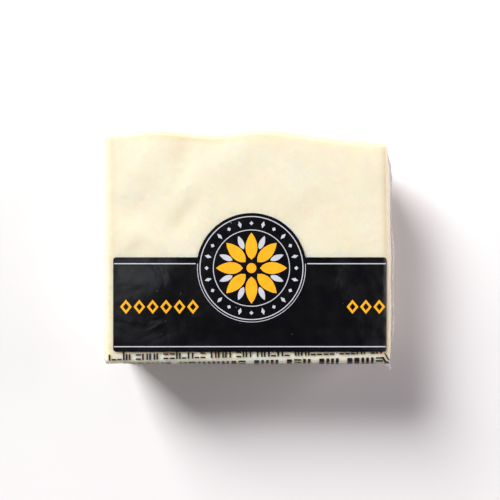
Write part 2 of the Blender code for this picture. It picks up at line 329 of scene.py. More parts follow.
EARS = (
    Ear(1, -1, (-6.5, 5.0), (5.0, 25.5), 9.0, (1.1, -2.0), (16.0, 25.0)),
    Ear(1, 1, (-2.2, -4.2), (7.0, 26.5), 2.2, (-0.6, 2.4), (17.0, 25.5)),
    Ear(-1, 1, (2.5, -4.2), (6.0, 22.0), 2.2, (1.2, 0.9), (9.0, 15.0)),
    Ear(-1, -1, (1.0, 2.6), (5.0, 25.5), 3.0, (12.8, -1.0), (17.0, 24.5)),
)


class Crease(NamedTuple):
    """A fine straight ridge in the film, or with a negative rise a groove, between two points of
    the rounded block.
    """

    start: tuple
    end: tuple
    width: float
    rise: float


# Fine marks in the top: hair creases and pits, as x, y, length, turn in degrees, width and rise.
TOP_MARKS = (
    (-24.5, 28.3, 3.0, 20.0, 0.35, 0.16),
    (-22.3, 22.0, 3.6, 38.0, 0.35, 0.2),
    (-42.8, 17.6, 1.2, -40.0, 0.5, -0.3),
    (-37.6, 17.2, 1.6, 60.0, 0.5, -0.3),
    (-36.0, 32.5, 1.4, 70.0, 0.5, 0.2),
    (-33.5, 35.5, 1.8, 75.0, 0.45, 0.18),
    (-27.5, 19.5, 2.6, 60.0, 0.4, -0.14),
    (14.3, 32.0, 3.2, 80.0, 0.5, 0.16),
    (13.0, 28.5, 2.4, 60.0, 0.4, 0.12),
    (30.5, 25.5, 1.6, 30.0, 0.4, 0.14),
    (26.5, 27.0, 1.2, 10.0, 0.35, -0.14),
    (33.0, 6.5, 2.2, 35.0, 0.4, 0.12),
    (8.5, 10.5, 1.4, 15.0, 0.35, -0.12),
    (-46.0, 30.0, 4.5, 80.0, 0.6, 0.12),
    (-44.8, 8.0, 5.0, 75.0, 0.6, 0.12),
)


def smooth_step(value):
    """From 0 up to 1 as the value goes from 0 to 1, level at both ends."""
    share = np.clip(value, 0.0, 1.0)
    return share * share * (3.0 - 2.0 * share)


def noise_at(points, wavelength, offset=0.0):
    """Smooth noise from about -1 to 1 at each point."""
    scaled = np.asarray(points) / wavelength + offset
    return np.array([noise.noise(Vector(row)) for row in scaled])


def outward(base):
    """The rounded block's outward normals at points of its surface."""
    over = np.maximum(np.abs(base) - INNER, 0.0) / EDGE_RADIUS
    plan = over[:, 0] ** CORNER_POWER + over[:, 1] ** CORNER_POWER
    pull = np.where(plan > 1e-12, np.maximum(plan, 1e-12) ** (EDGE_POWER / CORNER_POWER - 1.0), 0.0)
    normal = np.stack(
        [
            pull * over[:, 0] ** (CORNER_POWER - 1.0),
            pull * over[:, 1] ** (CORNER_POWER - 1.0),
            over[:, 2] ** (EDGE_POWER - 1.0),
        ],
        axis=1,
    )
    normal *= np.where(base < 0.0, -1.0, 1.0)
    return normal / np.linalg.norm(normal, axis=1, keepdims=True)


def rounded(square):
    """Points of a plain block with rounded edges, for points of the square block."""
    over = np.maximum(np.abs(square) - INNER, 0.0) / EDGE_RADIUS
    plan = (over[:, 0] ** CORNER_POWER + over[:, 1] ** CORNER_POWER) ** (1.0 / CORNER_POWER)
    shrink = (plan**EDGE_POWER + over[:, 2] ** EDGE_POWER) ** (-1.0 / EDGE_POWER)
    kept = np.minimum(np.abs(square), INNER)
    return np.sign(square) * (kept + EDGE_RADIUS * over * shrink[:, None])


def end_bulge(x, y, level):
    """How far points are pushed to the right by the fuller right wall."""
    near_right = smooth_step((x / HALVES[0] - END_BULGE_START) / (1.0 - END_BULGE_START))
    off = (level - END_BULGE_LEVEL) / (1.0 - END_BULGE_LEVEL)
    upright = np.maximum(0.0, 1.0 - off * off)
    return END_BULGE * near_right * upright * (1.0 - np.abs(y / HALVES[1]) ** 6)


def settled(base):
    """The real pack's surface, standing on the table, for points of the rounded block."""
    x, y, z = base.T
    level = z / HALVES[2]
    bulge = WALL_BULGE * (1.0 - level * level)
    inset = FOOT_INSET * (1.0 - level) / 2.0
    plan_x = x * (1.0 + (bulge - inset) / HALVES[0]) + PACK_MIDDLE[0]
    plan_y = y * (1.0 + (bulge - inset) / HALVES[1]) + PACK_MIDDLE[1]
    for (side_x, side_y), (shift_x, shift_y) in CORNER_SHIFTS.items():
        weight = (1.0 + side_x * x / HALVES[0]) * (1.0 + side_y * y / HALVES[1]) / 4.0
        plan_x = plan_x + shift_x * weight
        plan_y = plan_y + shift_y * weight
    plan_x = plan_x + end_bulge(x, y, level)
    upper = smooth_step((z + HALVES[2]) / PACK_HEIGHT)
    near_back = smooth_step(y / HALVES[1])
    near_top = smooth_step((z - HALVES[2] + EDGE_RADIUS) / EDGE_RADIUS)
    back = sum(b.offset_at(plan_x) for b in BACK_BULGES)
    relief = sum(s.height_at(plan_x, plan_y) for s in TOP_SWELLS)
    return np.stack(
        [plan_x, plan_y + back * near_back * upper, z + HALVES[2] + relief * near_top], axis=1
    )


def top_marks():
    marks = []
    for x, y, length, turn, width, rise in TOP_MARKS:
        half = np.array([math.cos(math.radians(turn)), math.sin(math.radians(turn))]) * length / 2
        middle = np.array([x, y]) - PACK_MIDDLE
        start = (*(middle - half), HALVES[2])
        end = (*(middle + half), HALVES[2])
        marks.append(Crease(start, end, width, rise))
    return marks


def wall_pleats(draw):
    """Creases where the film is drawn round the block: fans from the upright corners, and short
    pleats over the top and bottom edges.
    """
    pleats = []
    for side_x in (-1, 1):
        for side_y in (-1, 1):
            for along_x in (True, False):
                for _ in range(FAN_PLEATS):
                    level = draw.uniform(-11.0, 9.0)
                    length = draw.uniform(5.0, 19.0)
                    drop = draw.uniform(-0.35, 0.35) * length
                    corner = (side_x * HALVES[0], side_y * HALVES[1])
                    if along_x:
                        end = (corner[0] - side_x * length, corner[1], level + drop)
                    else:
                        end = (corner[0], corner[1] - side_y * length, level + drop)
                    width = draw.uniform(0.5, 1.0)
                    pleats.append(Crease((*corner, level), end, width, draw.uniform(0.12, 0.4)))
    for _ in range(EDGE_PLEATS):
        side = draw.choice((-1, 1))
        edge = draw.choice((-1, 1))
        lean = draw.uniform(-2.5, 2.5)
        reach = draw.uniform(0.5, 3.0)
        width = draw.uniform(0.45, 0.9)
        rise = draw.uniform(0.06, 0.2)
        if draw.random() < 0.5:
            x = draw.uniform(-INNER[0], INNER[0])
            start = (x, side * (HALVES[1] - reach), edge * (HALVES[2] - 0.2))
            end = (x + lean, side * HALVES[1], edge * draw.uniform(0.0, 9.0))
        else:
            y = draw.uniform(-INNER[1], INNER[1])
            start = (side * (HALVES[0] - reach), y, edge * (HALVES[2] - 0.2))
            end = (side * HALVES[0], y + lean, edge * draw.uniform(0.0, 9.0))
        pleats.append(Crease(start, end, width, rise))
    return pleats


CREASES = top_marks() + wall_pleats(np.random.default_rng(SEED))


def creases_at(base):
    """How far the creases stand off at points of the rounded block."""
    height = np.zeros(len(base))
    for crease in CREASES:
        start = np.array(crease.start)
        way = np.array(crease.end) - start
        along = np.clip((base - start) @ way / (way @ way), 0.0, 1.0)
        off = np.linalg.norm(base - (start + along[:, None] * way), axis=1)
        near = off < 4.0 * crease.width
        taper = np.sin(math.pi * (0.15 + 0.7 * along[near]))
        height[near] += crease.rise * taper * np.exp(-((off[near] / crease.width) ** 2))
    return height


def film_relief(base):
    """How far the film stands off the settled form at points of the rounded block."""
    on_wall = 1.0 - smooth_step((np.abs(base[:, 2]) - INNER[2]) / EDGE_RADIUS)
    lumps = noise_at(base, LUMP_WIDTH) * (LUMP_HEIGHTS[0] + LUMP_HEIGHTS[1] * on_wall)
    ripples = noise_at(base, RIPPLE_WIDTH, offset=40.0)
    ripples = ripples * (RIPPLE_HEIGHTS[0] + RIPPLE_HEIGHTS[1] * on_wall)
    above_table = smooth_step((base[:, 2] + HALVES[2]) / 2.0)
    return (lumps + ripples + creases_at(base)) * above_table


def laid_on(base, lift):
    """Points this far outside the film, for points of the rounded block."""
    return settled(base) + outward(base) * (film_relief(base) + lift)[:, None]


def under_plan(plan):
    """The points of the rounded block's upper side that the settled form has at places in plan."""
    plan = np.asarray(plan, float)
    guess = plan - PACK_MIDDLE
    for _ in range(5):
        over = np.maximum(np.abs(guess) - INNER[:2], 0.0) / EDGE_RADIUS
        rim = (over**CORNER_POWER).sum(axis=1) ** (EDGE_POWER / CORNER_POWER)
        z = INNER[2] + EDGE_RADIUS * np.maximum(1.0 - rim, 0.0) ** (1.0 / EDGE_POWER)
        base = np.column_stack([guess, z])
        guess = guess + plan - settled(base)[:, :2]
    return base


def down_front(x, reach):
    """Points of the rounded block's front, by how far they are from the top's front edge, round
    the edge and down the wall.
    """
    x = np.asarray(x, float) - PACK_MIDDLE[0]
    reach = np.asarray(reach, float)
    angle = np.clip(reach / EDGE_ARC, 0.0, 1.0) * math.pi / 2
    out = np.sin(angle)
    up = np.cos(angle)
    shrink = EDGE_RADIUS * (out**EDGE_POWER + up**EDGE_POWER) ** (-1.0 / EDGE_POWER)
    y = -INNER[1] + np.maximum(-reach, 0.0) - shrink * out
    z = INNER[2] + shrink * up - np.maximum(reach - EDGE_ARC, 0.0)
    return np.column_stack([x, y, z])


def grid_lines(half, cells):
    """Where the grid's lines cross one axis: evenly on the flat, and by angle round the edges."""
    flat = half - EDGE_RADIUS
    arc = EDGE_RADIUS * np.tan(math.pi / 4 * np.arange(1, ARC_CELLS + 1) / ARC_CELLS)
    middle = np.linspace(-flat, flat, cells + 1)
    return np.concatenate([-flat - arc[::-1], middle, flat + arc])


def block_grid():
    """The rounded block's skin: its points, and its faces as four indices each."""
    cells = (LENGTH_CELLS, DEPTH_CELLS, HEIGHT_CELLS)
    lines = [grid_lines(half, count) for half, count in zip(HALVES, cells)]
    last = [len(line) - 1 for line in lines]
    ring = ((0, 0), (1, 0), (1, 1), (0, 1))
    places = []
    for axis in range(3):
        first, second = (axis + 1) % 3, (axis + 2) % 3
        i, j = np.meshgrid(np.arange(last[first]), np.arange(last[second]), indexing="ij")
        for end in (0, last[axis]):
            side = np.zeros((i.size, 4, 3), int)
            for n, (step_i, step_j) in enumerate(ring if end else ring[::-1]):
                side[:, n, axis] = end
                side[:, n, first] = i.ravel() + step_i
                side[:, n, second] = j.ravel() + step_j
            places.append(side)
    places = np.concatenate(places)
    used, index = np.unique(places.reshape(-1, 3), axis=0, return_inverse=True)
    square = np.column_stack([line[used[:, axis]] for axis, line in enumerate(lines)])
    return rounded(square), index.reshape(-1, 4)


def piece_from(name, points, faces, material, tone=None, sharp_rims=False):
    """A smooth-shaded piece from points in millimetres, riding on the pack's body. Its tone is a
    number from 0 to 1 at each point, for its material. A thin sheet's rims can be kept sharp.
    """
    mesh = bpy.data.meshes.new(name)
    mesh.from_pydata((np.asarray(points) * MM).tolist(), [], [tuple(f) for f in faces])
    mesh.materials.append(material)
    if tone is not None:
        layer = mesh.attributes.new("tone", "FLOAT", "POINT")
        layer.data.foreach_set("value", np.asarray(tone, np.float32))
    mesh.shade_smooth()
    if sharp_rims:
        mesh.set_sharp_from_angle(angle=SHARP_ANGLE)
    made = bpy.data.objects.new(name, mesh)
    bpy.context.scene.collection.objects.link(made)
    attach(made, "root")
    return made


def closed_sheet(upper, lower, triangles):
    """A thin closed solid between two layers of points that share their triangles."""
    count = len(upper)
    edges = [edge for a, b, c in triangles for edge in ((a, b), (b, c), (c, a))]
    known = set(edges)
    rim = [edge for edge in edges if edge[::-1] not in known]
    faces = [tuple(t) for t in triangles]
    faces += [(c + count, b + count, a + count) for a, b, c in triangles]
    faces += [(start, start + count, end + count, end) for start, end in rim]
    return np.concatenate([upper, lower]), faces


def filled(outline):
    """A flat shape in plan as points and triangles: its outline and a grid of points inside."""
    outline = np.asarray(outline, float)
    low = outline.min(axis=0) + FILL_CELL * 0.6
    high = outline.max(axis=0) - FILL_CELL * 0.5
    columns = np.arange(low[0], high[0], FILL_CELL)
    rows = np.arange(low[1], high[1], FILL_CELL)
    inside = np.array([(x, y) for x in columns for y in rows]).reshape(-1, 2)
    gaps = np.linalg.norm(inside[:, None] - outline[None], axis=2)
    inside = inside[gaps.min(axis=1) > FILL_CELL * 0.45]
    points = [Vector(p) for p in outline] + [Vector(p) for p in inside]
    edges = [(i, (i + 1) % len(outline)) for i in range(len(outline))]
    flat, _, faces, _, _, _ = delaunay_2d_cdt(points, edges, [], 1, 1e-5)
    return np.array([tuple(p) for p in flat]), [tuple(f) for f in faces]


def band(inner, outer, shut=True):
    """A flat band between two loops, or two lines, that have as many points as each other."""
    count = len(inner)
    triangles = []
    for i in range(count if shut else count - 1):
        j = (i + 1) % count
        triangles += [(i, i + count, j + count), (i, j + count, j)]
    return np.array([*inner, *outer], float), triangles


def evenly(loop, step=0.6):
    """The same closed outline with points at most this far apart."""
    spread = []
    for start, end in zip(loop, [*loop[1:], loop[0]]):
        start, end = np.array(start, float), np.array(end, float)
        parts = max(1, math.ceil(np.linalg.norm(end - start) / step))
        spread += [start + (end - start) * i / parts for i in range(parts)]
    return spread


def arc(centre, radius, start, end, steps):
    """Points of an arc, from one angle in degrees to another."""
    angles = np.radians(np.linspace(start, end, steps + 1))
    return [(centre[0] + radius * math.cos(a), centre[1] + radius * math.sin(a)) for a in angles]


def circle(centre, radius, steps):
    return arc(centre, radius, 0, 360, steps)[:-1]


def moved(loop, centre, turn):
    """An outline drawn round the origin, turned by this many degrees and set down elsewhere."""
    cos = math.cos(math.radians(turn))
    sin = math.sin(math.radians(turn))
    return [(centre[0] + x * cos - y * sin, centre[1] + x * sin + y * cos) for x, y in loop]


def petal(length, width):
    """A leaf-shaped outline that runs from its foot at the origin out along x."""
    share = np.linspace(0.0, 1.0, PETAL_STEPS + 1)
    side = width / 2 * np.sin(math.pi * share**0.85) ** 0.8
    there = [(length * s, -w) for s, w in zip(share, side)]
    back = [(length * s, w) for s, w in zip(share[-2:0:-1], side[-2:0:-1])]
    return there + back


def lozenge(half_length, half_width):
    return [(half_length, 0.0), (0.0, half_width), (-half_length, 0.0), (0.0, -half_width)]


def many(sheets):
    """Several closed sheets as one list of points and faces."""
    points, faces, first = [], [], 0
    for more_points, more_faces in sheets:
        points.append(more_points)
        faces += [tuple(i + first for i in face) for face in more_faces]
        first += len(more_points)
    return np.concatenate(points), faces


def sheet_on_top(shape, low, high):
    """A closed sheet over a flat shape's plan, between two steps outward from the film."""
    plan, triangles = shape
    base = under_plan(plan)
    return closed_sheet(laid_on(base, high), laid_on(base, low), triangles)


def ink_on_label(shape):
    surface = LABEL_LIFT + LABEL_THICKNESS
    return sheet_on_top(shape, surface - INK_SUNK, surface + INK_PROUD)


class Nodes:
    """Short names for building one material's node tree."""

    def __init__(self, name):
        self.material = bpy.data.materials.new(name)
        self.material.use_nodes = True
        self.tree = self.material.node_tree
        self.tree.nodes.clear()
        self.place = self.add("ShaderNodeTexCoord").outputs["Object"]

    def add(self, kind, **settings):
        node = self.tree.nodes.new(kind)
        for name, value in settings.items():
            setattr(node, name, value)
        return node

    def link(self, output, socket):
        self.tree.links.new(output, socket)

    def put(self, socket, value):
        if isinstance(value, bpy.types.NodeSocket):
            self.link(value, socket)
        else:
            socket.default_value = value

    def noise(self, size_mm, detail=3.0, roughness=0.5, distortion=0.0):
        """Noise whose features are about this many millimetres wide."""
        node = self.add("ShaderNodeTexNoise")
        self.link(self.place, node.inputs["Vector"])
        node.inputs["Scale"].default_value = 1.0 / (size_mm * MM)
        node.inputs["Detail"].default_value = detail
        node.inputs["Roughness"].default_value = roughness
        node.inputs["Distortion"].default_value = distortion
        return node.outputs["Fac"]

    def tone(self):
        """The piece's own value at each point, from 0 to 1."""
        return self.add("ShaderNodeAttribute", attribute_name="tone").outputs["Fac"]

    def tinted(self, colour, share, tint):
        """A colour multiplied by a tint, as far as the share says."""
        node = self.add("ShaderNodeMix", data_type="RGBA", blend_type="MULTIPLY")
        first, second = node.inputs[6:8]  # the two colours
        self.link(share, node.inputs["Factor"])
        self.link(colour, first)
        second.default_value = (*tint, 1.0)
        return node.outputs[2]  # the mixed colour

    def ramp(self, value, *stops):
        """A colour ramp through (place, colour) stops."""
        node = self.add("ShaderNodeValToRGB")
        elements = node.color_ramp.elements
        while len(elements) < len(stops):
            elements.new(0.5)
        for element, (place, colour) in zip(elements, stops):
            element.position = place
            element.color = (*colour, 1.0)
        self.link(value, node.inputs["Fac"])
        return node.outputs["Color"]

    def span(self, value, low, high, to_low, to_high):
        """A value's range from low to high, stretched to another range."""
        node = self.add("ShaderNodeMapRange")
        self.link(value, node.inputs["Value"])
        node.inputs["From Min"].default_value = low
        node.inputs["From Max"].default_value = high
        node.inputs["To Min"].default_value = to_low
        node.inputs["To Max"].default_value = to_high
        return node.outputs["Result"]

    def maths(self, operation, first, second):
        node = self.add("ShaderNodeMath", operation=operation)
        self.put(node.inputs[0], first)
        self.put(node.inputs[1], second)
        return node.outputs["Value"]

    def bump(self, height, depth_mm, strength, normal=None):
        node = self.add("ShaderNodeBump")
        node.inputs["Distance"].default_value = depth_mm * MM
        node.inputs["Strength"].default_value = strength
        self.link(height, node.inputs["Height"])
        if normal is not None:
            self.link(normal, node.inputs["Normal"])
        return node.outputs["Normal"]

    def principled(self, **values):
        node = self.add("ShaderNodeBsdfPrincipled")
        for name, value in values.items():
            self.put(node.inputs[name.replace("_", " ")], value)
        return node.outputs["BSDF"]

    def mix(self, share, first, second):
        node = self.add("ShaderNodeMixShader")
        self.link(share, node.inputs["Fac"])
        self.link(first, node.inputs[1])
        self.link(second, node.inputs[2])
        return node.outputs["Shader"]

    def done(self, shader):
        output = self.add("ShaderNodeOutputMaterial")
        self.link(shader, output.inputs["Surface"])
        return self.material


def cheese_material():
    """Dense pale cheese: a mottled cream that light sinks into a little, moist on its surface."""
    n = Nodes("cheese")
    broad = n.noise(22.0, detail=2.0)
    fine = n.noise(2.6, detail=5.0, roughness=0.6)
    mottle = n.maths("ADD", n.maths("MULTIPLY", broad, 0.65), n.maths("MULTIPLY", fine, 0.35))
    colour = n.ramp(
        mottle,
        (0.34, (0.835, 0.785, 0.615)),
        (0.5, (0.845, 0.805, 0.645)),
        (0.66, (0.855, 0.825, 0.68)),
    )
    grain = n.bump(n.noise(1.1, detail=4.0, roughness=0.65), 0.05, 0.6)
    # The piece's tone darkens the colour toward the rim tint: painted shade along the edges and in
    # the hollows, partly the rind's own yellower colour.
    return n.done(
        n.principled(
            Base_Color=n.tinted(colour, n.tone(), RIM_SHADE_TINT),
            Roughness=n.span(fine, 0.3, 0.7, 0.34, 0.5),
            Normal=grain,
            Subsurface_Weight=1.0,
            Subsurface_Radius=(1.0, 0.75, 0.45),
            Subsurface_Scale=0.004,
        )
    )


def film_material(name, haze_low, haze_high, fold_haze, roughness, crumple_mm):
    """Clear film: see-through, with a mirror-like shine that fine crumples break up, and a faint
    milky haze where it is doubled or has drawn air. Its tone adds more haze at sharp folds and
    crinkles, a painted sheen along the front and end edges of the film round the cheese, and a
    painted glint along the free edges of the flaps and ears.
    """
    n = Nodes(name)
    crumple = n.noise(crumple_mm, detail=3.0, roughness=0.55, distortion=0.6)
    orange_peel = n.noise(0.9, detail=2.0)
    shape = n.bump(orange_peel, 0.012, 0.6, n.bump(crumple, 0.12, 0.55))
    shine = n.add("ShaderNodeBsdfGlossy")
    shine.inputs["Roughness"].default_value = roughness
    n.link(shape, shine.inputs["Normal"])
    facing = n.add("ShaderNodeLayerWeight")
    facing.inputs["Blend"].default_value = 0.5
    n.link(shape, facing.inputs["Normal"])
    glance = n.maths("POWER", facing.outputs["Facing"], 5.0)
    mirror = n.span(glance, 0.0, 1.0, FILM_MIRROR, 1.0)
    clear = n.add("ShaderNodeBsdfTransparent")
    clear.inputs["Color"].default_value = (0.985, 0.985, 0.985, 1.0)
    milk = n.principled(
        Base_Color=(0.93, 0.91, 0.9, 1.0),
        Roughness=0.4,
        Subsurface_Weight=1.0,
        Subsurface_Radius=(1.0, 0.95, 0.9),
        Subsurface_Scale=0.001,
    )
    patches = n.noise(7.0, detail=4.0, roughness=0.6)
    haze = n.span(patches, 0.42, 0.72, haze_low, haze_high)
    folded = n.maths("MULTIPLY", n.tone(), fold_haze)
    body = n.mix(n.maths("MAXIMUM", haze, folded), clear.outputs["BSDF"], milk)
    return n.done(n.mix(mirror, body, shine.outputs["BSDF"]))


def label_material():
    """Black printed film, satin, with slight waves and a few pale specks of dust."""
    n = Nodes("label_black")
    specks = n.noise(0.75, detail=1.0)
    tone = n.ramp(
        specks,
        (0.0, (0.0015, 0.0015, 0.0025)),
        (0.81, (0.002, 0.002, 0.003)),
        (0.825, (0.35, 0.36, 0.38)),
    )
    waves = n.bump(n.noise(11.0, detail=2.0, distortion=0.8), 0.35, 0.6)
    fine = n.bump(n.noise(1.0, detail=3.0), 0.02, 0.5, waves)
    return n.done(
        n.principled(
            Base_Color=tone,
            Roughness=n.span(n.noise(6.0, detail=3.0), 0.3, 0.7, 0.16, 0.28),
            Specular_IOR_Level=0.5,
            Normal=fine,
        )
    )


def ink_material(name, light, dark, roughness):
    """Printing ink, slightly uneven in colour."""
    n = Nodes(name)
    tone = n.ramp(n.noise(1.4, detail=3.0), (0.3, dark), (0.7, light))
    return n.done(
        n.principled(
            Base_Color=tone,
            Roughness=roughness,
            Normal=n.bump(n.noise(1.0, detail=3.0), 0.02, 0.4),
        )
    )


def floor_material():
    """A plain white table top, a little cloudy."""
    n = Nodes("white_table")
    tone = n.ramp(n.noise(60.0, detail=2.0), (0.3, (0.79, 0.79, 0.795)), (0.7, (0.81, 0.81, 0.815)))
    return n.done(n.principled(Base_Color=tone, Roughness=0.75, Specular_IOR_Level=0.2))


def on_edge(normal):
    """From 0 on the flat sides to 1 in the middle of the rounded edges of the top and bottom."""
    return 4.0 * normal[:, 2] ** 2 * (1.0 - normal[:, 2] ** 2)


def rim_shade_band(inside, side):
    """From 0 to 1 in the middle of a band, by how far points are inside one side."""
    return np.exp(-(((inside - RIM_SHADE_INSETS[side]) / RIM_SHADE_SPREAD) ** 2))


def rind_and_painted_shade(base, normal, points):
    """How much painted shade the cheese's colour has, partly standing for its yellower rind: along
    its edges, most of all at the back, where the edges face the key light, and a little in the
    hollows of its top, as painted shade.
    """
    x, y = base[:, 0], base[:, 1]
    # Painted shade on the rounded edges, strongest where they face the back, towards the key light.
    edge = on_edge(normal) * np.clip(0.1 + 1.2 * normal[:, 1] - 0.1 * normal[:, 0], 0.0, 1.0)
    left = RIM_SHADE_STRENGTHS["left"] * rim_shade_band(HALVES[0] + x, "left")
    right = RIM_SHADE_STRENGTHS["right"] * rim_shade_band(HALVES[0] - x, "right")
    back_shade = BACK_SHADE_STRENGTH * np.exp(-(((x - BACK_SHADE_X) / BACK_SHADE_HALF_LENGTH) ** 2))
    back = (RIM_SHADE_STRENGTHS["back"] + back_shade) * rim_shade_band(HALVES[1] - y, "back")
    relief = sum(s.height_at(points[:, 0], points[:, 1]) for s in TOP_SWELLS)
    hollow = HOLLOW_SHADE_SHARE * np.clip(-relief / HOLLOW_SHADE_DEPTH, 0.0, 1.0)
    return np.clip(np.max([edge, left, right, back], axis=0) + hollow, 0.0, 1.0)


def cheese_block(base, faces, relief):
    """The cheese, a little inside the film all round."""
    normal = outward(base)
    points = settled(base) + normal * (CHEESE_RELIEF * relief - CHEESE_INSET)[:, None]
    # Painted shade along the edges and in the hollows, partly the rind's own yellower colour.
    rind_and_shade = rind_and_painted_shade(base, normal, points)
    made = piece_from("cheese_block", points, faces, cheese_material(), rind_and_shade)
    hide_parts("sealed_pack")
    return made


def film_skin(base, faces, relief, material):
    """The film round the cheese, hazy on the ridges of its creases and on its rounded edges, where
    the haze along the front and the ends is partly a painted sheen.
    """
    normal = outward(base)
    points = settled(base) + normal * relief[:, None]
    off_top = 1.0 - smooth_step(normal[:, 2] / 0.9)
    ridges = np.clip(creases_at(base) / 0.3, 0.0, 1.0) * off_top
    patches = PATCH_HAZE_AND_SHEEN * np.abs(noise_at(base, PATCH_WIDTH))
    loose_end = LOOSE_LEFT_HAZE_AND_SHEEN * smooth_step((LOOSE_END_X - base[:, 0]) / LOOSE_END_FADE)
    # The haze along the front and at the ends is partly milky film over air, partly a painted sheen
    # that lightens edges facing away from the key light.
    facing_front = on_edge(normal) * np.clip(-normal[:, 1], 0.0, 1.0)
    front = facing_front * (FRONT_HAZE_AND_SHEEN + patches + loose_end)
    ends = ENDS_HAZE_AND_SHEEN * on_edge(normal) * np.abs(normal[:, 0])
    folded = np.clip(np.maximum(ridges, front + ends), 0.0, 1.0)
    made = piece_from("vacuum_film", points, faces, material, folded)
    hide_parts("sealed_pack")
    return made


def label_outline():
    """The label in plan, anticlockwise: a band with round corners and the badge's arc."""
    left, right = LABEL_LEFT + LABEL_CORNER, LABEL_RIGHT - LABEL_CORNER
    front, back = LABEL_FRONT + LABEL_CORNER, LABEL_BACK - LABEL_CORNER
    meet = math.degrees(math.asin((LABEL_BACK - BADGE[1]) / BADGE_RADIUS))
    outline = arc((right, front), LABEL_CORNER, -90, 0, 4)
    outline += arc((right, back), LABEL_CORNER, 0, 90, 4)
    outline += arc(BADGE, BADGE_RADIUS, meet, 180 - meet, 90)
    outline += arc((left, back), LABEL_CORNER, 90, 180, 4)
    outline += arc((left, front), LABEL_CORNER, 180, 270, 4)
    return evenly(outline)


def label_sheet():
    shape = filled(label_outline())
    points, faces = sheet_on_top(shape, LABEL_LIFT, LABEL_LIFT + LABEL_THICKNESS)
    made = piece_from(
        "label_film", points, faces, label_material(), sharp_rims=True
    )
    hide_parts("front_label")
    return made


def stripe(y, start, end):
    places = np.linspace(start, end, math.ceil((end - start) / STRIPE_STEP) + 1)
    half = STRIPE_WIDTH / 2
    upper = [(x, y + half) for x in places]
    lower = [(x, y - half) for x in places]
    return band(upper, lower, shut=False)


def ring(radius, width, start=0.0, end=360.0):
    """A ring, or a part of one between two angles, round the badge's centre."""
    steps = round((end - start) / RING_STEP)
    inner, outer = radius - width / 2, radius + width / 2
    if end - start == 360.0:
        return band(circle(BADGE, inner, steps), circle(BADGE, outer, steps))
    return band(
        arc(BADGE, inner, start, end, steps), arc(BADGE, outer, start, end, steps), shut=False
    )


def petal_ring(count, reach, length, width, first_turn):
    """Petals set round the badge's centre, each with its foot at this reach."""
    shapes = []
    for step in range(count):
        turn = first_turn + 360.0 * step / count
        foot = moved([(reach, 0.0)], BADGE, turn)[0]
        shapes.append(filled(moved(petal(length, width), foot, turn)))
    return shapes


def pale_shapes():
    """The label's stripes, the badge's rings and lozenges, and the flower's pale petals."""
    left = LABEL_LEFT + STRIPE_GAP
    right = LABEL_RIGHT - STRIPE_GAP
    shapes = []
    for y in STRIPES:
        drop = abs(y - BADGE[1])
        if drop < BADGE_RADIUS:
            half = math.sqrt(BADGE_RADIUS**2 - drop**2) + STRIPE_GAP
            shapes.append(stripe(y, left, BADGE[0] - half))
            shapes.append(stripe(y, BADGE[0] + half, right))
        else:
            shapes.append(stripe(y, left, right))
    shapes.append(ring(RING_RADIUS, RING_WIDTH))
    shapes.append(ring(INNER_RING_RADIUS, INNER_RING_WIDTH))
    low = math.degrees(math.asin((STRIPES[0] - BADGE[1]) / OUTER_RING_RADIUS))
    shapes.append(ring(OUTER_RING_RADIUS, OUTER_RING_WIDTH, 180.0 - low, 360.0 + low))
    between = (RING_RADIUS + INNER_RING_RADIUS) / 2
    for step in range(RING_LOZENGES):
        turn = 360.0 * step / RING_LOZENGES
        centre = moved([(between, 0.0)], BADGE, turn)[0]
        size = LONG_LOZENGE if step % 2 else SHORT_LOZENGE
        shapes.append(filled(moved(lozenge(*size), centre, turn)))
    shapes += petal_ring(*PALE_PETALS)
    return shapes


def amber_shapes():
    """The flower's amber petals and its eye, and the rows of open lozenges beside the badge."""
    shapes = petal_ring(*AMBER_PETALS)
    shapes.append(filled(circle(BADGE, EYE_RADIUS, EYE_STEPS)))
    for start, count in AMBER_ROWS:
        for step in range(count):
            centre = (start + AMBER_PITCH * step, AMBER_ROW_Y)
            outer = moved(lozenge(*AMBER_LOZENGE), centre, 0.0)
            inner = moved(lozenge(*AMBER_LOZENGE_HOLE), centre, 0.0)
            shapes.append(band(evenly(inner, 0.9), evenly(outer, 1.7)))
    return shapes


def printed(name, shapes, material):
    """Flat shapes laid on the label as one piece of thin ink."""
    points, faces = many([ink_on_label(shape) for shape in shapes])
    made = piece_from(name, points, faces, material, sharp_rims=True)
    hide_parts("front_label")
    return made


def dash(x, reach, width, tall, lean):
    """A dark dash on the film of the front wall, as a closed sheet."""
    columns = max(2, math.ceil(width / DASH_STEP) + 1)
    across = np.linspace(-0.5, 0.5, columns)
    down = np.linspace(-0.5, 0.5, DASH_ROWS)
    u, v = np.meshgrid(across, down, indexing="ij")
    places = x + u * width + v * lean
    base = down_front(places.ravel(), (reach + v * tall).ravel())
    triangles = grid_triangles(columns, DASH_ROWS)
    return closed_sheet(laid_on(base, INK_PROUD), laid_on(base, -INK_SUNK), triangles)


def grid_triangles(rows, columns):
    """Triangles of a grid whose points run column by column within each row."""
    corner = np.arange(rows * columns).reshape(rows, columns)
    a, b = corner[:-1, :-1].ravel(), corner[1:, :-1].ravel()
    c, d = corner[1:, 1:].ravel(), corner[:-1, 1:].ravel()
    return np.concatenate([np.column_stack([a, b, c]), np.column_stack([a, c, d])]).tolist()


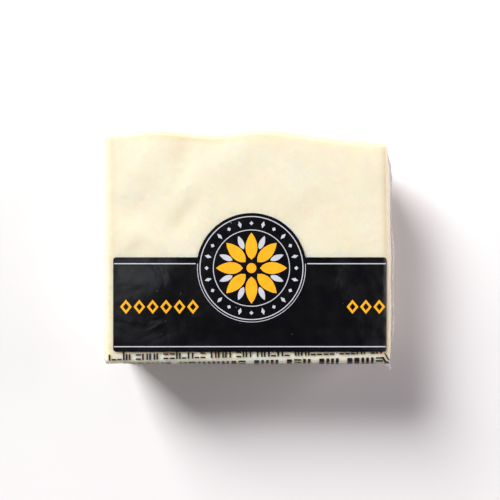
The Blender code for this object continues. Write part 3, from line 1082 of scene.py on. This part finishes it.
def print_rows():
    """Rows of bars and dashes, in groups, and the print that the folds have turned askew."""
    draw = np.random.default_rng(SEED + 1)
    sheets = [dash(*mark) for mark in CORNER_PRINT]
    for left, reach_left, reach_right, tall, stroke, marks in PRINT_ROWS:
        x = left
        left_in_group = draw.integers(*GROUP_SIZES)
        while x < PRINT_RIGHT:
            share = (x - left) / (PRINT_RIGHT - left)
            foot = reach_left + (reach_right - reach_left) * share + tall / 2
            mark = marks[draw.integers(len(marks))]
            for across, up, width, height in mark:
                middle = (x + across * stroke, foot - up * tall)
                sheets.append(dash(*middle, width * stroke, height * tall, 0.0))
            x += (max(across + width / 2 for across, _, width, _ in mark) + MARK_GAP) * stroke
            left_in_group -= 1
            if left_in_group == 0:
                left_in_group = draw.integers(*GROUP_SIZES)
                x += GROUP_GAP * stroke
    return sheets


def film_print(material):
    """The dark print on the film, all of it as one piece."""
    points, faces = many(print_rows())
    made = piece_from("film_print", points, faces, material, sharp_rims=True)
    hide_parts("sealed_pack")
    return made


def wall_at(side, y):
    """Where a short wall stands at half height, outward from the middle of the table."""
    points = np.column_stack([np.full_like(y, side * HALVES[0]), y - PACK_MIDDLE[1], 0.0 * y])
    return settled(points)[:, 0] * side


def end_flap(flap):
    """The film's sealed end: a thin crinkled sheet that lies back against the wall, and how milky
    it is at each point: where it crinkles, and along its free edge, where the whiteness is partly
    a painted glint.
    """
    share = np.linspace(0.0, 1.0, FLAP_COLUMNS)
    y = FLAP_HALF_LENGTH * (2.0 * share - 1.0) + PACK_MIDDLE[1]
    wall = wall_at(flap.side, y)
    width = 1.0 - FLAP_NARROWING * np.abs(2.0 * share - 1.0) ** FLAP_TAPER
    wave = FLAP_WAVE * np.sin(2.0 * math.pi * FLAP_WAVES * share)
    proud = flap.proud + flap.front_gain * (0.5 - share) + wave
    free = flap.root + (flap.free - flap.root) * width + wave
    rise = math.copysign(FLAP_BEND_RISE, flap.free - flap.root)
    rows = []
    for row in range(FLAP_ROWS):
        out = row / (FLAP_ROWS - 1)
        if out < FLAP_BEND_SHARE:
            part = out / FLAP_BEND_SHARE
            x = wall - FLAP_ROOT_DEPTH + (FLAP_BEND + FLAP_ROOT_DEPTH) * part
            z = flap.root + rise * part**2
        else:
            part = (out - FLAP_BEND_SHARE) / (1.0 - FLAP_BEND_SHARE)
            x = wall + FLAP_BEND + (proud - FLAP_BEND) * part
            z = flap.root + rise + (free - flap.root - rise) * part
        rows.append(np.column_stack([flap.side * x, y, z + 0.0 * x]))
    points = np.concatenate(rows)
    crinkle = noise_at(points * (1.0, 1.0, 0.35), FLAP_CRINKLE_WIDTHS[0], offset=7.0)
    broad = noise_at(points, FLAP_CRINKLE_WIDTHS[1], offset=21.0)
    loose = smooth_step(np.repeat(np.arange(FLAP_ROWS) / (FLAP_ROWS - 1), FLAP_COLUMNS) * 2.0)
    points[:, 0] += flap.side * FLAP_CRINKLE * (crinkle + broad - 0.5) * loose
    # A painted glint along the free edge, partly the film's own haze there.
    rim = np.repeat(np.linspace(0.0, 1.0, FLAP_ROWS) ** 4, FLAP_COLUMNS)
    folded = np.clip(rim + 1.2 * np.abs(crinkle) * loose, 0.0, 1.0)
    half = np.array([flap.side * FILM_THICKNESS / 2, 0.0, 0.0])
    triangles = grid_triangles(FLAP_ROWS, FLAP_COLUMNS)
    if flap.side > 0:
        triangles = [t[::-1] for t in triangles]
    return (*closed_sheet(points + half, points - half, triangles), np.tile(folded, 2))


def corner_ear(ear):
    """A pinch of film that stands upright from a root inside the pack to its thin tip, and how
    milky it is at each point: toward its tip, along its top edge and where it is least crumpled.
    The whiteness at the top edge and the tip is partly a painted glint.
    """
    corner = settled(np.array([[ear.side_x * HALVES[0], ear.side_y * HALVES[1], 0.0]]))[0, :2]
    root, tip = corner + np.array(ear.root), corner + np.array(ear.tip)
    away = (tip - root) / np.linalg.norm(tip - root)
    beside = np.array([-away[1], away[0]])
    points = []
    across = np.linspace(-0.5, 0.5, EAR_ACROSS)
    upright = np.linspace(0.0, 1.0, EAR_UPRIGHT)
    loop = [(a, 0.0) for a in across] + [(0.5, u) for u in upright[1:]]
    loop += [(a, 1.0) for a in across[-2::-1]] + [(-0.5, u) for u in upright[-2:0:-1]]
    for step in range(EAR_STEPS + 1):
        share = step / EAR_STEPS
        centre = root + (tip - root) * share
        centre = centre + beside * EAR_WAVE * math.sin(math.pi * share * 1.5)
        low = ear.root_levels[0] + (ear.tip_levels[0] - ear.root_levels[0]) * share * share
        high = ear.root_levels[1] + (ear.tip_levels[1] - ear.root_levels[1]) * share * share
        thick = ear.root_thickness + (EAR_TIP_THICKNESS - ear.root_thickness) * share
        for a, u in loop:
            points.append((*(centre + beside * a * thick), low + (high - low) * u))
    count = len(loop)
    last_ring = range(count * (EAR_STEPS + 1) - 1, count * EAR_STEPS - 1, -1)
    faces = [tuple(range(count)), tuple(last_ring)]
    for step in range(EAR_STEPS):
        for i in range(count):
            j = (i + 1) % count
            ring_start, next_start = step * count, (step + 1) * count
            faces.append((ring_start + j, ring_start + i, next_start + i, next_start + j))
    points = np.array(points)
    middle = points.reshape(EAR_STEPS + 1, count, 3).mean(axis=1).repeat(count, axis=0)
    inward = middle - points
    inward /= np.linalg.norm(inward, axis=1, keepdims=True)
    crumple = np.abs(noise_at(points * (1.0, 1.0, 0.6), EAR_CRUMPLE_WIDTHS[0], offset=3.0))
    crumple = crumple + np.abs(noise_at(points, EAR_CRUMPLE_WIDTHS[1], offset=9.0))
    slim = np.linspace(1.0, EAR_TIP_CRUMPLE, EAR_STEPS + 1).repeat(count)
    points = points + inward * (EAR_CRUMPLE * crumple * slim)[:, None]
    # The top edge and the tip are whiter: partly the film's haze, partly a painted glint.
    upper = np.tile([u for _, u in loop], EAR_STEPS + 1) ** 6
    folded = np.maximum((1.0 - slim) ** 3, np.maximum(upper, 1.0 - 3.0 * crumple))
    return points, faces, np.clip(folded, 0.0, 1.0)


def spare_film(material):
    """The sealed ends and the corners' spare film, as one piece."""
    sheets = [end_flap(flap) for flap in FLAPS] + [corner_ear(ear) for ear in EARS]
    points, faces = many([sheet[:2] for sheet in sheets])
    folded = np.concatenate([sheet[2] for sheet in sheets])
    made = piece_from("spare_film", points, faces, material, folded)
    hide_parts("sealed_pack")
    return made


def stage():
    """The white table, just under the pack."""
    size = TABLE_HALF_SIZE
    mesh = bpy.data.meshes.new("white_table")
    corners = [(-size, -size, 0.0), (size, -size, 0.0), (size, size, 0.0), (-size, size, 0.0)]
    mesh.from_pydata(corners, [], [(0, 1, 2, 3)])
    mesh.materials.append(floor_material())
    table = bpy.data.objects.new("white_table", mesh)
    table.location.z = -TABLE_DROP
    bpy.context.scene.collection.objects.link(table)


def area_light(name, towards, distance, size, watts, colour):
    """A square soft light in this direction from the pack, facing it."""
    data = bpy.data.lights.new(name, "AREA")
    data.shape = "SQUARE"
    data.size = size
    data.energy = watts
    data.color = colour
    light = bpy.data.objects.new(name, data)
    way = Vector(towards).normalized()
    light.location = way * distance
    light.rotation_euler = way.to_track_quat("Z", "Y").to_euler()
    bpy.context.scene.collection.objects.link(light)


def lights():
    """One large soft light from the back left, four weak cards that fill, and a dim room."""
    area_light("key_softbox", (-0.525, 0.672, 0.5225), 2.4, 1.1, 111.0, (1.0, 0.985, 0.975))
    area_light("right_card", (0.9, 0.25, 0.233), 1.3, 0.8, 12.6, (1.0, 0.88, 0.92))
    area_light("front_card", (0.1, -1.0, 0.2), 1.3, 0.9, 3.0, (1.0, 0.88, 0.91))
    area_light("top_card", (-0.32, 0.06, 1.0), 1.3, 0.4, 0.6, (0.92, 0.96, 1.0))
    area_light("edge_card", (0.55, -0.08, 1.0), 1.3, 0.4, 1.1, (1.0, 0.95, 0.96))
    world = bpy.data.worlds.new("studio")
    world.use_nodes = True
    background = world.node_tree.nodes["Background"]
    background.inputs["Color"].default_value = (1.0, 0.88, 0.93, 1.0)
    background.inputs["Strength"].default_value = 0.05
    bpy.context.scene.world = world


def camera():
    """A camera that looks straight down at the middle of the pack."""
    data = bpy.data.cameras.new("camera")
    data.lens = CAMERA_LENS
    data.sensor_width = CAMERA_SENSOR
    data.clip_start = 0.01
    made = bpy.data.objects.new("camera", data)
    made.location = (0.0, 0.0, CAMERA_HEIGHT)
    bpy.context.scene.collection.objects.link(made)
    bpy.context.scene.camera = made


def main():
    camera()
    base, faces = block_grid()
    relief = film_relief(base)
    cheese_block(base, faces, relief)
    film_skin(base, faces, relief, film_material("film_on_cheese", 0.0, 0.06, 0.45, 0.2, 4.0))
    spare_film(film_material("spare_film", 0.3, 0.6, 0.8, 0.2, 1.6))
    label_sheet()
    pale = ink_material("pale_ink", (0.58, 0.61, 0.68), (0.52, 0.55, 0.62), 0.45)
    amber = ink_material("amber_ink", (1.0, 0.46, 0.005), (0.92, 0.4, 0.004), 0.45)
    dark = ink_material("dark_ink", (0.01, 0.009, 0.008), (0.005, 0.0045, 0.004), 0.4)
    printed("pale_print", pale_shapes(), pale)
    printed("amber_print", amber_shapes(), amber)
    film_print(dark)
    stage()
    lights()
    scene = bpy.context.scene
    scene.view_settings.view_transform = "Standard"
    scene.view_settings.look = "None"


main()
